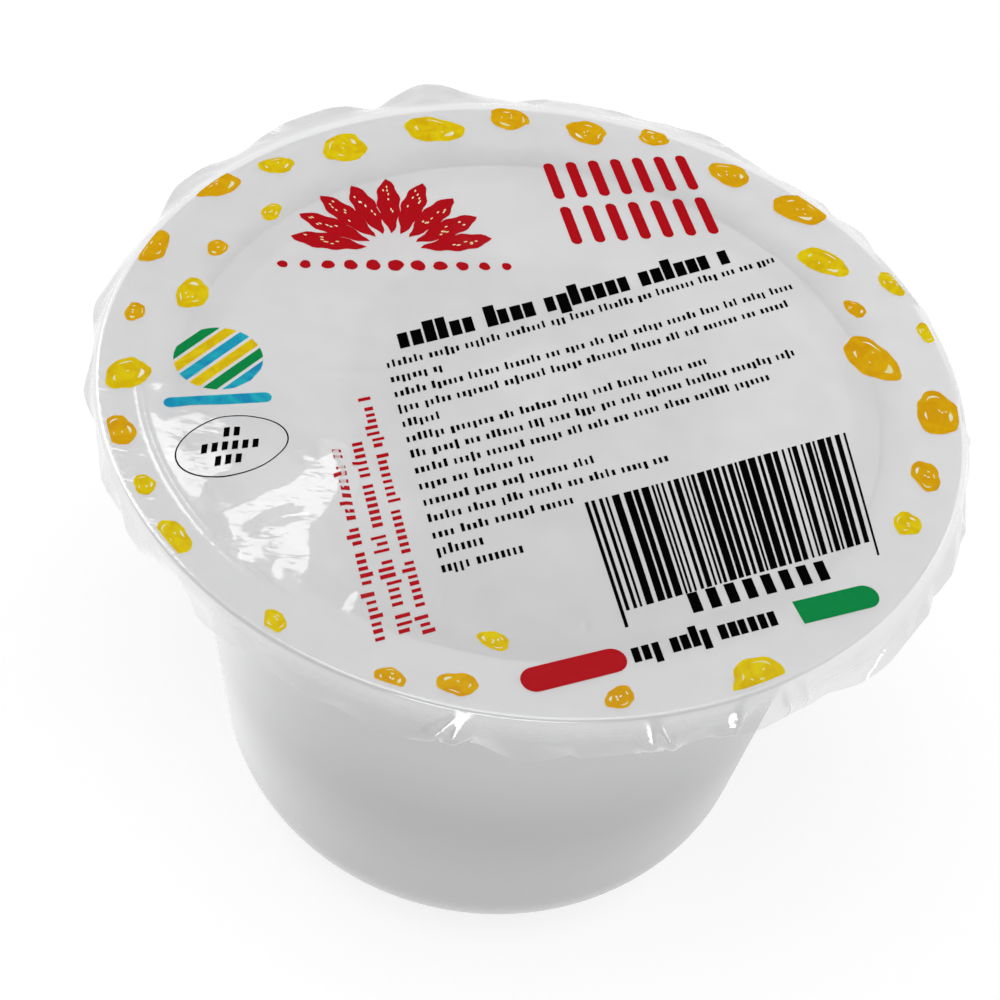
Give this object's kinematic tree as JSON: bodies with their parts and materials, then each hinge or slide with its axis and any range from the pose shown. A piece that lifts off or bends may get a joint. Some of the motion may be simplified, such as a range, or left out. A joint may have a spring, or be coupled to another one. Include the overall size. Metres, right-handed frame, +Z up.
{
  "type": "sealed tub of burrata",
  "caption": "Round white tapered tub of burrata in its liquid, closed by a clear printed film sealed to its flat rim, with a loose wavy trimmed edge.",
  "frame": {"origin": "middle of the cup's flat base, on the surface it stands on", "axes": "+Z up along the cup's axis, -Y towards the side from which the print is read, +X to the reader's right"},
  "size_m": [0.1012, 0.1, 0.0712],
  "materials": {
    "cup_plastic": "thermoformed white plastic, glossy and slightly milky",
    "filling": "wet white cheese and its milky liquid",
    "film": "clear glossy film with fine wrinkles, milky where it is creased",
    "print_orange": "printed ink under the film's gloss",
    "print_yellow": "printed ink under the film's gloss",
    "print_red": "printed ink under the film's gloss",
    "print_black": "printed ink under the film's gloss",
    "print_blue": "printed ink under the film's gloss",
    "print_green": "printed ink under the film's gloss"
  },
  "bodies": {
    "root": {"cup": "cup_plastic", "filling": "filling", "lid_film": "film"}
  },
  "joints": []
}
